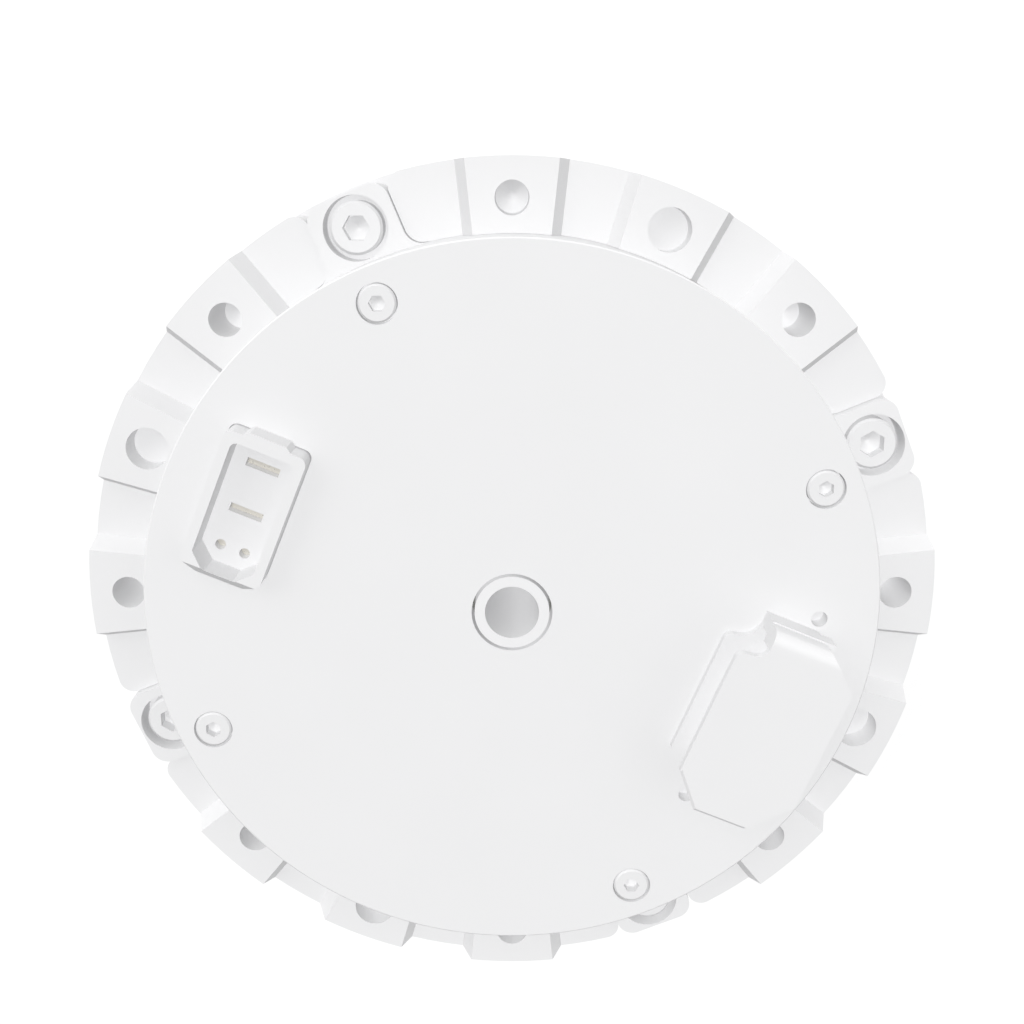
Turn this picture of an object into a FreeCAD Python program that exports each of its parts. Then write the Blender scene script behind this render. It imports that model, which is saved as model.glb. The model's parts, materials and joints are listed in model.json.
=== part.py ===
"""Hollow-shaft robot joint actuator: a frameless motor and a planetary stage in one round housing.

Row frame, in millimetres: +Z runs from the output face (z = 0) to the rear cover, and the
origin is the centre of the output face. Angles are measured about +Z from +X.
"""
import FreeCAD, Part
import os
from math import acos, cos, pi, radians, sin, sqrt, tan

Vec = FreeCAD.Vector
Z_AXIS = Vec(0, 0, 1)

# ---------------------------------------------------------------- driving dimensions
# stack, from the output face up
output_proud = 1.5          # output face to the housing's front face
front_lip = 2.5             # lip that holds the output bearing
bearing_width = 9.0         # crossed-roller bearing
flange_rim_height = 4.0     # rim of the output flange below the bearing's inner ring
carrier_plate = 4.0         # lower plate of the carrier
carrier_top_plate = 3.2
planet_width = 11.0
washer_thickness = 0.8
planet_play = 0.1           # axial play at each end of a planet
carrier_gap = 1.0           # carrier to the mid plate's hub
mid_spigot = 2.0            # mid plate's spigot, which clamps the ring gear
mid_plate_thickness = 4.0
spacer_height = 1.0         # rotor hub above the mid plate
winding_clearance = 3.0     # end windings to the mid plate
winding_overhang = 3.0
stack_height = 16.0         # stator laminations
rear_clearance = 1.5        # end windings to the rear plate
rear_plate = 3.0
ear_lift = 0.3              # underside of the ears above the rear plate's top
ear_thickness = 6.0
ear_rise = 1.0              # ear top above the flange floor
boss_height = 2.65          # boss top above the flange floor
cover_rise = 6.55           # cover face above the boss tops
cover_thickness = 3.5

# radii and bores
cover_r = 38.0
body_wall = 7.4             # front housing's wall around the gears
edge_chamfer = 0.4
stator_shoulder_r = 36.3
bearing_lip = 3.4           # front lip inside the bearing's bore
flange_r = 45.6
flange_height = 11.0        # flange floor down to the flange's underside
ring_gear_wall = 3.475      # ring gear outside its teeth's roots
mount_pitch_r = 41.5
rear_wall = 2.5
tube_inner_r = 2.8
tube_outer_r = 3.875
cover_bore_r = 4.18
rotor_shaft_lap = 4.0       # sun shaft ends this far below the rotor's rear face
rotor_tail = 3.6            # shaft end above the rear bearing
shaft_r = 6.0
shaft_bore_r = 4.4
output_r = 28.0             # output flange where the bearing's inner ring sits
output_rim_r = 30.3
pilot_r = 10.0
pilot_depth = 2.0

# rear mounting ring
boss_half_angle = 6.0
boss_slope_run = 1.1        # run of a boss's sloped side over its height
ear_half_width = 4.4
ear_edge_r = 45.2
ear_corner_r = 1.8
ear_root_r = 2.0
mouth_r = 1.6               # rounding of the flange beside an ear
mount_thread_r = 1.75       # M4 core
mount_thread_depth = 8.0
locating_r = 2.25
locating_depth = 3.3

# gears
module_mm = 0.9
sun_teeth = 18
planet_teeth = 27
ring_teeth = 72
planet_count = 3
pressure_angle = radians(20)
flank_backlash = 0.05       # taken off each flank
pin_r = 4.0
bush_wall = 1.5
pillar_pitch_r = 24.3
pillar_r = 4.6
carrier_r = 30.0

# output bearing
roller_to_bore = 4.5        # roller circle inside the housing's bore
roller_size = 4.2
roller_count = 24
race_gap = 0.3              # between the two rings
rolling_gap = 0.05

# rotor bearings
small_bearing_r = 10.5
small_bearing_width = 5.0
ball_r = 1.2
ball_count = 9

# motor
slot_count = 18
pole_count = 20
air_gap = 0.5
stator_inner_r = 24.5
tooth_width = 4.0
yoke_width = 4.5
magnet_thickness = 1.7
rotor_rim = 2.7
winding_wall = 1.8

# electronics
board_thickness = 1.6
board_r = 34.4
board_hole_r = 17.5
switch_inset = 5.5
switch_length = 5.0
switch_width = 4.4
controller_size = 7.0
chip_height = 1.1
capacitor_r = 2.5
capacitor_gap = 0.8         # capacitors below the cover
encoder_chip_size = 3.0
encoder_chip_height = 0.7
column_r = 3.0
post_r = 2.2
post_pitch_r = 31.5
encoder_post_r = 2.0
encoder_post_pitch_r = 14.5
lead_r = 0.8
lead_pitch_r = 29.8
gasket_r = 36.3
gasket_width = 0.9
gasket_depth = 0.8
board_height = 4.5          # underside of the driver board above the rear plate
encoder_rise = 1.4          # encoder board above the driver board's top
encoder_thickness = 1.2
encoder_r = 16.8
encoder_bore_r = 7.2
encoder_magnet_r = 9.5
encoder_magnet_width = 2.5
tube_magnet_r = 6.0
tube_magnet_width = 2.8

# screws: thread radius, head radius, head height, socket across flats
M2 = (1.0, 1.9, 2.0, 1.5)
M2_5 = (1.25, 2.2, 1.6, 1.5)
M3 = (1.5, 2.75, 3.0, 2.5)
M4 = (2.0, 3.5, 4.0, 3.0)
cover_screw_pitch_r = 34.25
front_screw_count = 8
front_screw_length = 45.0
ear_screw_length = 8.0
cover_screw_length = 8.0
board_screw_length = 4.0
carrier_screw_length = 25.0
ear_rim = 0.25              # ear left outside its counterbore
ear_counterbore_r = 3.35
ear_head_recess = 0.5
output_pitch_r = 22.0
output_thread_r = 1.65
output_hole_count = 6
output_thread_depth = 7.0
dowel_r = 2.0
dowel_depth = 5.0

# ports on the rear cover, in a frame turned so that its x axis passes through both
port_turn = -22.5
port_a_x = -29.05
port_b_x = 27.75
port_width = 8.5
port_length = 15.7
port_wall = 1.0
port_rise = 3.2             # port A above the cover face
port_bevel_run = 1.3
port_bevel_drop = 2.2
cavity_floor = 1.2          # cavity floor below the cover face
cavity_corner = 1.7
tongue_width = 3.8
tongue_length = 0.95
tongue_drop = 1.6
terminal_length = 3.5
terminal_width = 0.9
terminal_y = 4.3
terminal_pitch = 5.1
signal_y = -5.0
signal_pitch = 2.6
signal_r = 0.55
contact_recess = 1.25
collar_rise = 0.9
cap_rise = 6.2
cap_lid = 0.9
cap_waist = 1.9
cap_half_width = 6.3
cap_end = 10.7              # tongue ends from the port's centre
cap_shoulder = 6.85
cap_tongue = 2.9            # tongue half width
cap_chamfer_x = 2.45
cap_step_height = 3.2
cap_step = 0.6
cap_round = 1.2
cap_plug = 1.8
cap_collar_spread = 0.3
peg_r = 0.85
peg_depth = 2.0
PEG_HOLES = [(1.9, 11.5), (-2.55, -11.9)]

# clearances
seat_gap = 0.03             # located fits in one body
running_gap = 0.04          # bush on pin
screw_gap = 0.02            # thread in its tapped hole
hole_gap = 0.2              # plain screw hole
close_hole_gap = 0.05       # plain screw hole in an ear
part_gap = 0.1              # ears in their pockets, ports in the cover
cover_head_gap = 0.15       # cover screw heads in their counterbores

# ---------------------------------------------------------------- derived levels and radii
front_face_z = output_proud
bearing_z = front_face_z + front_lip
bearing_top_z = bearing_z + bearing_width
carrier_z = bearing_top_z
washer_z = carrier_z + carrier_plate
planet_z = washer_z + washer_thickness + planet_play
planet_top_z = planet_z + planet_width
top_plate_z = planet_top_z + washer_thickness + planet_play
carrier_top_z = top_plate_z + carrier_top_plate
spigot_z = carrier_top_z + carrier_gap
mid_z = spigot_z + mid_spigot
main_z = mid_z + mid_plate_thickness
winding_z = main_z + winding_clearance
stack_z = winding_z + winding_overhang
stack_top_z = stack_z + stack_height
winding_top_z = stack_top_z + winding_overhang
rear_z = winding_top_z + rear_clearance
rear_plate_top_z = rear_z + rear_plate
ear_z = rear_plate_top_z + ear_lift
ear_top_z = ear_z + ear_thickness
floor_z = ear_top_z - ear_rise
boss_top_z = floor_z + boss_height
cover_face_z = boss_top_z + cover_rise
cover_z = cover_face_z - cover_thickness
board_z = rear_plate_top_z + board_height
board_top_z = board_z + board_thickness
encoder_z = board_top_z + encoder_rise
front_bearing_z = main_z - small_bearing_width
rear_bearing_z = rear_z
rear_bearing_top_z = rear_bearing_z + small_bearing_width

sun_r = module_mm * sun_teeth / 2
planet_r = module_mm * planet_teeth / 2
ring_r = module_mm * ring_teeth / 2
ring_root_r = ring_r + 1.25 * module_mm
gear_bore_r = ring_root_r + ring_gear_wall
body_r = gear_bore_r + body_wall
lip_r = gear_bore_r - bearing_lip
front_screw_pitch_r = gear_bore_r + body_wall / 2
ear_screw_pitch_r = ear_edge_r - ear_rim - ear_counterbore_r
orbit_r = sun_r + planet_r
rotor_r = stator_inner_r - air_gap
main_bore_r = cover_r + seat_gap
roller_pitch_r = gear_bore_r - roller_to_bore
cavity_z = cover_face_z - cavity_floor
socket_z = cover_face_z + port_rise
cap_top_z = cover_face_z + cap_rise
ear_head_z = ear_top_z - ear_head_recess - M3[2]
ear_thread_depth = ear_screw_length - (ear_head_z - ear_z)
cover_head_z = cover_face_z - M2[2]
cover_thread_depth = cover_screw_length - (cover_head_z - cover_z)
front_head_z = front_face_z + M3[2] + 0.3
front_thread_depth = front_head_z + front_screw_length - main_z
carrier_head_z = carrier_top_z - M3[2] - 0.2
carrier_thread_depth = carrier_z - (carrier_head_z - carrier_screw_length)
rotor_top_z = rear_bearing_top_z + rotor_tail
circlip_z = rear_bearing_top_z
circlip_width = 0.8
magnet_z = rotor_top_z - encoder_magnet_width
tube_magnet_z = rotor_top_z + 1.1
EAR_ANGLES = [22.5 + 90 * k for k in range(4)]
THREAD_ANGLES = [45 * k for k in range(8)]
LOCATING_ANGLES = [67.5 + 90 * k for k in range(4)]
BOSS_ANGLES = THREAD_ANGLES + LOCATING_ANGLES
FRONT_SCREW_ANGLES = [360 / front_screw_count * (k + 0.5) for k in range(front_screw_count)]
PLANET_ANGLES = [360 / planet_count * k for k in range(planet_count)]
PILLAR_ANGLES = [a + 180 / planet_count for a in PLANET_ANGLES]
OUTPUT_ANGLES = [360 / output_hole_count * (k + 0.5) for k in range(output_hole_count)]
SLOT_ANGLES = [360 / slot_count * k for k in range(slot_count)]
POST_ANGLES = [90 * k for k in range(4)]
ENCODER_POST_ANGLES = [30, 150, 270]
LEAD_ANGLES = [300, 320, 340]


# ---------------------------------------------------------------- shape helpers
def at(r, angle, z=0.0):
    return Vec(r * cos(radians(angle)), r * sin(radians(angle)), z)


def disc(r, z0, z1, centre=(0, 0)):
    return Part.makeCylinder(r, z1 - z0, Vec(centre[0], centre[1], z0))


def ring(outer, inner, z0, z1):
    return disc(outer, z0, z1).cut(disc(inner, z0 - 1, z1 + 1))


def turned(*profile):
    """Solid of revolution about Z from (r, z) corners."""
    points = [Vec(r, 0, z) for r, z in profile]
    face = Part.Face(Part.makePolygon(points + points[:1]))
    return face.revolve(Vec(0, 0, 0), Z_AXIS, 360)


def spun(shape, angle):
    copy = shape.copy()
    copy.rotate(Vec(0, 0, 0), Z_AXIS, angle)
    return copy


def polar(shape, angles):
    return [spun(shape, a) for a in angles]


def group(shapes):
    return Part.makeCompound(shapes)


def joined(base, *more):
    return base.fuse(list(more)).removeSplitter()


def rounded_face(corners, z):
    """Planar face at height z through (x, y, radius) corners, each rounded by its radius."""
    count = len(corners)
    starts, ends, mids = [], [], []
    for i, (x, y, r) in enumerate(corners):
        here = Vec(x, y, z)
        back = Vec(corners[i - 1][0], corners[i - 1][1], z) - here
        ahead = Vec(corners[(i + 1) % count][0], corners[(i + 1) % count][1], z) - here
        back.normalize()
        ahead.normalize()
        half = back.getAngle(ahead) / 2
        reach = r / tan(half)
        bisector = back + ahead
        if r > 0:
            bisector.normalize()
        starts.append(here + back * reach)
        ends.append(here + ahead * reach)
        mids.append(here + bisector * (r / sin(half) - r))
    edges = []
    for i in range(count):
        if corners[i][2] > 0:
            edges.append(Part.Arc(starts[i], mids[i], ends[i]).toShape())
        following = starts[(i + 1) % count]
        if (following - ends[i]).Length > 1e-6:
            edges.append(Part.makeLine(ends[i], following))
    return Part.Face(Part.Wire(edges))


def slab(corners, z0, z1):
    return rounded_face(corners, z0).extrude(Vec(0, 0, z1 - z0))


def block(x0, x1, y0, y1, z0, z1, r=0.0):
    return slab([(x0, y0, r), (x1, y0, r), (x1, y1, r), (x0, y1, r)], z0, z1)


def hex_prism(across, z0, z1, centre, vertex_angle):
    tip = across / 2 / cos(pi / 6)
    points = [Vec(centre[0], centre[1], z0) + at(tip, vertex_angle + 60 * k) for k in range(7)]
    return Part.Face(Part.makePolygon(points)).extrude(Vec(0, 0, z1 - z0))


def cap_screw(size, seat_z, length, pitch_r, up=True, vertex_angle=7.5):
    """Socket cap screw on the +X ray; its head rests on seat_z and its thread runs the other way."""
    thread_r, head_r, head_h, across = size
    socket_z = 0.45 * head_h
    head = disc(head_r, 0, head_h)
    head = head.makeChamfer(0.1 * head_r, [rim(head, head_r, head_h)])
    socket = hex_prism(across, socket_z, head_h + 1, (0, 0), vertex_angle)
    point = Part.makeCone(across / 2, 0, across / 4, Vec(0, 0, socket_z), Vec(0, 0, -1))
    screw = joined(head, disc(thread_r, -length, 0)).cut(socket.fuse(point))
    if not up:
        screw.rotate(Vec(0, 0, 0), Vec(1, 0, 0), 180)
    screw.translate(Vec(pitch_r, 0, seat_z))
    return screw


def rim(shape, r, z):
    """The circular edge of a turned shape with this radius at this height."""
    for edge in shape.Edges:
        curve = edge.Curve
        if isinstance(curve, Part.Circle) and abs(curve.Radius - r) < 1e-6 and abs(curve.Center.z - z) < 1e-6:
            return edge
    raise ValueError("no such rim")


def blind_hole(r, mouth_z, depth, pitch_r, cone=True, up=True):
    """Drilled hole on the +X ray that opens at mouth_z."""
    way = -1 if up else 1
    start = Vec(pitch_r, 0, mouth_z - way)
    hole = Part.makeCylinder(r, depth + 1, start, Vec(0, 0, way))
    if cone:
        tip = Vec(pitch_r, 0, mouth_z + way * depth)
        hole = hole.fuse(Part.makeCone(r, 0, r * tan(radians(31)), tip, Vec(0, 0, way)))
    return hole


def in_port_frame(shape, x=0.0):
    """From a port's own frame, x along the ray, to the row frame."""
    copy = shape.copy()
    copy.translate(Vec(x, 0, 0))
    return spun(copy, port_turn)


# ---------------------------------------------------------------- gears
def involute(angle):
    return tan(angle) - angle


def tooth_outline(teeth, inner_r, outer_r, widen, steps):
    """Closed outline of an involute gear; widen moves each flank outwards along the pitch circle."""
    pitch_r = module_mm * teeth / 2
    base_r = pitch_r * cos(pressure_angle)
    at_pitch = pi / (2 * teeth) + widen / pitch_r + involute(pressure_angle)
    radii = [inner_r + (outer_r - inner_r) * k / steps for k in range(steps + 1)]
    flank = [(r, at_pitch - involute(acos(min(1.0, base_r / r)))) for r in radii]
    points = []
    for k in range(teeth):
        middle = 2 * pi * k / teeth
        points += [Vec(r * cos(middle - a), r * sin(middle - a), 0) for r, a in flank]
        points += [Vec(r * cos(middle + a), r * sin(middle + a), 0) for r, a in reversed(flank)]
    return Part.Face(Part.makePolygon(points + points[:1]))


def spur_gear(teeth, z0, z1):
    pitch_r = module_mm * teeth / 2
    face = tooth_outline(teeth, pitch_r - 1.25 * module_mm, pitch_r + module_mm, -flank_backlash, 3)
    face.translate(Vec(0, 0, z0))
    return face.extrude(Vec(0, 0, z1 - z0))


def make_ring_gear():
    gap_face = tooth_outline(ring_teeth, ring_r - module_mm, ring_root_r, flank_backlash, 2)
    teeth_z = washer_z - 1
    gap_face.translate(Vec(0, 0, teeth_z))
    blank = disc(gear_bore_r - seat_gap, teeth_z, spigot_z)
    teeth = blank.cut(gap_face.extrude(Vec(0, 0, spigot_z - teeth_z)))
    sleeve = ring(gear_bore_r - seat_gap, ring_root_r, bearing_top_z, teeth_z)
    return joined(teeth, sleeve)


def make_planet(angle):
    gear = spur_gear(planet_teeth, planet_z, planet_top_z)
    gear = gear.cut(disc(pin_r + bush_wall, planet_z - 1, planet_top_z + 1))
    gear.translate(Vec(orbit_r, 0, 0))
    return spun(gear, angle)


def make_bush(angle):
    bush = ring(pin_r + bush_wall - seat_gap, pin_r + running_gap, planet_z, planet_top_z)
    bush.translate(Vec(orbit_r, 0, 0))
    return spun(bush, angle)


def make_sun_gear():
    gear = spur_gear(sun_teeth, washer_z + washer_thickness, planet_top_z)
    shaft = disc(shaft_r, planet_top_z - 1, stack_top_z - rotor_shaft_lap)
    return joined(gear, shaft).cut(disc(shaft_bore_r, 0, cover_face_z))


# ---------------------------------------------------------------- bearings
def small_bearing(z):
    """Deep-groove bearing on the rotor shaft: outer ring, inner ring, balls."""
    pitch_r = (shaft_r + small_bearing_r) / 2
    middle = z + small_bearing_width / 2
    track = ball_r + rolling_gap
    wall = 0.72 * ball_r
    top = z + small_bearing_width
    groove = turned((pitch_r - track, middle - 0.45 * track), (pitch_r - 0.45 * track, middle - track),
                    (pitch_r + 0.45 * track, middle - track), (pitch_r + track, middle - 0.45 * track),
                    (pitch_r + track, middle + 0.45 * track), (pitch_r + 0.45 * track, middle + track),
                    (pitch_r - 0.45 * track, middle + track), (pitch_r - track, middle + 0.45 * track))
    outer = ring(small_bearing_r - seat_gap, pitch_r + wall, z, top).cut(groove)
    inner = ring(pitch_r - wall, shaft_r + seat_gap, z, top).cut(groove)
    ball = Part.makeSphere(ball_r, Vec(pitch_r, 0, middle))
    balls = group(polar(ball, [360 / ball_count * k for k in range(ball_count)]))
    return outer, inner, balls


def output_bearing():
    """Crossed-roller bearing: outer ring, inner ring, rollers with alternating axes."""
    middle = bearing_z + bearing_width / 2
    reach = (roller_size + 2 * rolling_gap) / sqrt(2)
    channel = turned((roller_pitch_r - reach, middle), (roller_pitch_r, middle - reach),
                     (roller_pitch_r + reach, middle), (roller_pitch_r, middle + reach))
    outer = ring(gear_bore_r - seat_gap, roller_pitch_r + race_gap / 2, bearing_z, bearing_top_z).cut(channel)
    inner = ring(roller_pitch_r - race_gap / 2, output_r + seat_gap, bearing_z, bearing_top_z).cut(channel)
    rollers = []
    for k in range(roller_count):
        lean = 45 if k % 2 else 135
        roller = Part.makeCylinder(roller_size / 2, roller_size, Vec(0, 0, -roller_size / 2))
        roller.rotate(Vec(0, 0, 0), Vec(0, 1, 0), lean)
        roller.translate(Vec(roller_pitch_r, 0, middle))
        rollers.append(spun(roller, 360 / roller_count * k))
    return outer, inner, group(rollers)


# ---------------------------------------------------------------- housings
def ear_plan(gap, z0, z1):
    """An ear on the +X ray, flared into the housing's cylinder, with gap added all round."""
    half = ear_half_width + gap
    inner = cover_r - 2
    reach = flange_r + 2 if gap else ear_edge_r
    corner = 0 if gap else ear_corner_r
    tab = slab([(inner, -half, 0), (reach, -half, corner), (reach, half, corner), (inner, half, 0)], z0, z1)
    y = ear_half_width + ear_root_r
    x = sqrt((cover_r + ear_root_r) ** 2 - y ** 2)
    touch = cover_r / (cover_r + ear_root_r)
    side = y * touch + 2 * gap
    flare = [(inner, 0, 0), (x, 0, 0), (x, y, 0), (x * touch, side, 0), (inner, side, 0)]
    web = slab(flare, z0, z1).cut(disc(ear_root_r - gap, z0 - 1, z1 + 1, (x, y)))
    return joined(tab, web, web.mirror(Vec(0, 0, 0), Vec(0, 1, 0)))


def ear_pocket():
    """Pocket for an ear, with the flange rounded on both sides of its mouth."""
    pocket = ear_plan(part_gap, ear_z, boss_top_z + 1)
    half = ear_half_width + part_gap
    y = half + mouth_r
    x = sqrt((flange_r - mouth_r) ** 2 - y ** 2)
    out = (flange_r + 2) / (flange_r - mouth_r)
    mouth = slab([(x, half - 0.5, 0), (flange_r + 2, half - 0.5, 0), (x * out, y * out, 0), (x, y, 0)],
                 ear_z, boss_top_z + 1)
    mouth = mouth.cut(disc(mouth_r, ear_z - 1, boss_top_z + 2, (x, y)))
    return pocket.fuse([mouth, mouth.mirror(Vec(0, 0, 0), Vec(0, 1, 0))])


def mounting_boss():
    """Raised boss on the +X ray: radial sides that slope out towards the flange floor."""
    wide = sin(radians(boss_half_angle))
    long = cos(radians(boss_half_angle))
    inner, outer = cover_r - 3, flange_r + 3
    run = boss_slope_run
    low_z, high_z = floor_z - 1, boss_top_z
    low_run = run * (boss_height + 1) / boss_height

    def outline(extra, z):
        dx, dy = -extra * wide, extra * long
        points = [Vec(inner * long + dx, inner * wide + dy, z), Vec(outer * long + dx, outer * wide + dy, z),
                  Vec(outer * long + dx, -outer * wide - dy, z),
                  Vec(inner * long + dx, -inner * wide - dy, z)]
        return Part.makePolygon(points + points[:1])

    wedge = Part.makeLoft([outline(low_run, low_z), outline(0.0, high_z)], True, True)
    return wedge.common(ring(flange_r, main_bore_r, low_z, high_z))


def make_main_housing():
    """Motor housing with the crenelated mounting ring at its rear end."""
    flange_z = floor_z - flange_height
    c = edge_chamfer
    shell = turned((0, main_z), (body_r - c, main_z), (body_r, main_z + c), (body_r, flange_z),
                   (flange_r - c, flange_z), (flange_r, flange_z + c), (flange_r, floor_z), (0, floor_z))
    shell = shell.cut(disc(main_bore_r, stack_z, boss_top_z + 1))
    shell = shell.cut(disc(stator_shoulder_r, main_z - 1, stack_z + 1))
    shell = joined(shell, *polar(mounting_boss(), BOSS_ANGLES))
    cuts = polar(ear_pocket(), EAR_ANGLES)
    cuts += polar(blind_hole(mount_thread_r, boss_top_z, mount_thread_depth, mount_pitch_r), THREAD_ANGLES)
    locating_hole = blind_hole(locating_r, boss_top_z, locating_depth, mount_pitch_r, cone=False)
    cuts += polar(locating_hole, LOCATING_ANGLES)
    cuts += polar(blind_hole(M3[0] + screw_gap, ear_z, ear_thread_depth + 1, ear_screw_pitch_r), EAR_ANGLES)
    cuts += polar(blind_hole(M3[0] + screw_gap, main_z, front_thread_depth + 1, front_screw_pitch_r, up=False),
                  FRONT_SCREW_ANGLES)
    return shell.cut(cuts)


def make_rear_housing():
    """Shell behind the motor: bearing seat, electronics tray, ears and cover columns."""
    shell = disc(cover_r, rear_z, cover_z)
    shell = shell.cut(disc(cover_r - rear_wall, rear_plate_top_z, cover_z + 1))
    hub_top_z = rear_bearing_top_z + 1
    column = disc(column_r, rear_plate_top_z - 0.5, cover_z, (cover_screw_pitch_r, 0))
    column = column.common(disc(cover_r, rear_z, cover_z))
    ear = ear_plan(0, ear_z, ear_top_z)
    ear = ear.cut(disc(cover_r - rear_wall, ear_z - 1, ear_top_z + 1))
    post = disc(post_r, rear_plate_top_z - 0.5, board_z, (post_pitch_r, 0))
    encoder_post = disc(encoder_post_r, rear_plate_top_z - 0.5, encoder_z, (encoder_post_pitch_r, 0))
    shell = joined(shell, disc(small_bearing_r + rear_wall, rear_plate_top_z - 0.5, hub_top_z),
                   *polar(column, EAR_ANGLES), *polar(ear, EAR_ANGLES), *polar(post, POST_ANGLES),
                   *polar(encoder_post, ENCODER_POST_ANGLES))
    cuts = [disc(small_bearing_r, rear_z - 1, rear_bearing_top_z),
            disc(small_bearing_r - 1, rear_z, hub_top_z + 1)]
    counterbore = disc(ear_counterbore_r, ear_head_z, ear_top_z + 1, (ear_screw_pitch_r, 0))
    counterbore = counterbore.fuse(disc(M3[0] + close_hole_gap, ear_z - 1, ear_top_z, (ear_screw_pitch_r, 0)))
    cuts += polar(counterbore, EAR_ANGLES)
    cover_thread = blind_hole(M2[0] + screw_gap, cover_z, cover_thread_depth + 1, cover_screw_pitch_r)
    cuts += polar(cover_thread, EAR_ANGLES)
    post_depth = board_screw_length - board_thickness + 0.4
    cuts += polar(blind_hole(M2_5[0] + screw_gap, board_z, post_depth, post_pitch_r), POST_ANGLES)
    cuts += polar(blind_hole(M2[0] + screw_gap, encoder_z, board_screw_length - encoder_thickness + 0.4,
                             encoder_post_pitch_r), ENCODER_POST_ANGLES)
    cuts += polar(disc(lead_r + 0.8, rear_z - 1, rear_plate_top_z + 1, (lead_pitch_r, 0)), LEAD_ANGLES)
    cuts.append(ring(gasket_r + gasket_width, gasket_r, cover_z - gasket_depth, cover_z + 1))
    return shell.cut(cuts)


def make_rear_cover():
    plate = disc(cover_r, cover_z, cover_face_z)
    plate = plate.makeChamfer(0.15, [rim(plate, cover_r, cover_face_z)])
    screw_hole = disc(M2[1] + cover_head_gap, cover_head_z, cover_face_z + 1, (cover_screw_pitch_r, 0))
    screw_hole = screw_hole.fuse(disc(M2[0] + hole_gap, cover_z - 1, cover_face_z, (cover_screw_pitch_r, 0)))
    cuts = [disc(cover_bore_r, cover_z - 1, cover_face_z + 1)] + polar(screw_hole, EAR_ANGLES)
    for x in (port_a_x, port_b_x):
        cuts.append(in_port_frame(slab(port_outline(-part_gap, 0.9), cover_z - 1, cover_face_z + 1), x))
    for x, y in PEG_HOLES:
        peg = disc(peg_r, cover_face_z - peg_depth, cover_face_z + 1, (x, y))
        cuts.append(in_port_frame(peg, port_b_x))
    return plate.cut(cuts)


def make_front_housing():
    """Gear housing with the lip that holds the output bearing."""
    c = edge_chamfer
    shell = turned((lip_r, front_face_z), (body_r - c, front_face_z), (body_r, front_face_z + c),
                   (body_r, mid_z - c), (body_r - c, mid_z), (gear_bore_r, mid_z), (gear_bore_r, bearing_z),
                   (lip_r, bearing_z))
    hole = disc(M3[1] + part_gap, front_face_z - 1, front_head_z, (front_screw_pitch_r, 0))
    hole = hole.fuse(disc(M3[0] + hole_gap, front_face_z, mid_z + 1, (front_screw_pitch_r, 0)))
    return shell.cut(polar(hole, FRONT_SCREW_ANGLES))


def make_mid_plate():
    """Wall between the gears and the motor, with the rotor's front bearing."""
    hub_r = small_bearing_r + rear_wall
    c = edge_chamfer
    plate = turned((0, mid_z), (body_r - c, mid_z), (body_r, mid_z + c), (body_r, main_z - c),
                   (body_r - c, main_z), (0, main_z))
    plate = plate.fuse(ring(gear_bore_r - seat_gap, ring_root_r, spigot_z, mid_z))
    plate = joined(plate, disc(hub_r, spigot_z, mid_z))
    cuts = [disc(small_bearing_r, front_bearing_z, main_z + 1),
            disc(small_bearing_r - 1, spigot_z - 1, main_z)]
    cuts += polar(disc(M3[0] + hole_gap, mid_z - 1, main_z + 1, (front_screw_pitch_r, 0)), FRONT_SCREW_ANGLES)
    return plate.cut(cuts)


# ---------------------------------------------------------------- output side
def make_output_flange():
    disc_shape = turned((0, 0), (output_rim_r - 0.5, 0), (output_rim_r, 0.5), (output_rim_r, flange_rim_height),
                        (output_r, flange_rim_height), (output_r, bearing_top_z), (0, bearing_top_z))
    cuts = [disc(pilot_r, -1, pilot_depth), disc(tube_outer_r + seat_gap, -1, bearing_top_z + 1)]
    thread = blind_hole(output_thread_r, 0, output_thread_depth, output_pitch_r, up=False)
    cuts += polar(thread, OUTPUT_ANGLES)
    cuts += polar(blind_hole(dowel_r, 0, dowel_depth, output_pitch_r, cone=False, up=False), PLANET_ANGLES)
    cuts += polar(blind_hole(M3[0] + screw_gap, bearing_top_z, carrier_thread_depth + 0.5, pillar_pitch_r),
                  PILLAR_ANGLES)
    return disc_shape.cut(cuts)


def make_carrier():
    """Two plates joined by three pillars between the planets."""
    low = disc(carrier_r, carrier_z, washer_z)
    high = disc(carrier_r, top_plate_z, carrier_top_z)
    pillar = disc(pillar_r, washer_z - 1, top_plate_z + 1, (pillar_pitch_r, 0))
    cage = joined(low, high, *polar(pillar, PILLAR_ANGLES))
    cuts = polar(disc(pin_r + seat_gap, carrier_z - 1, carrier_top_z + 1, (orbit_r, 0)), PLANET_ANGLES)
    cuts.append(disc(sun_r + module_mm + 1, washer_z, carrier_top_z + 1))
    cuts.append(disc(tube_outer_r + 0.5, carrier_z - 1, washer_z + 1))
    screw = disc(M3[0] + hole_gap, carrier_z - 1, carrier_top_z, (pillar_pitch_r, 0))
    screw = screw.fuse(disc(M3[1] + hole_gap, carrier_head_z, carrier_top_z + 1, (pillar_pitch_r, 0)))
    return cage.cut(cuts + polar(screw, PILLAR_ANGLES))


def make_planet_washers():
    washer = ring(pin_r + bush_wall + 1, pin_r + running_gap, 0, washer_thickness)
    shapes = []
    for z in (washer_z, top_plate_z - washer_thickness):
        placed = washer.copy()
        placed.translate(Vec(orbit_r, 0, z))
        shapes += polar(placed, PLANET_ANGLES)
    return group(shapes)


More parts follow.
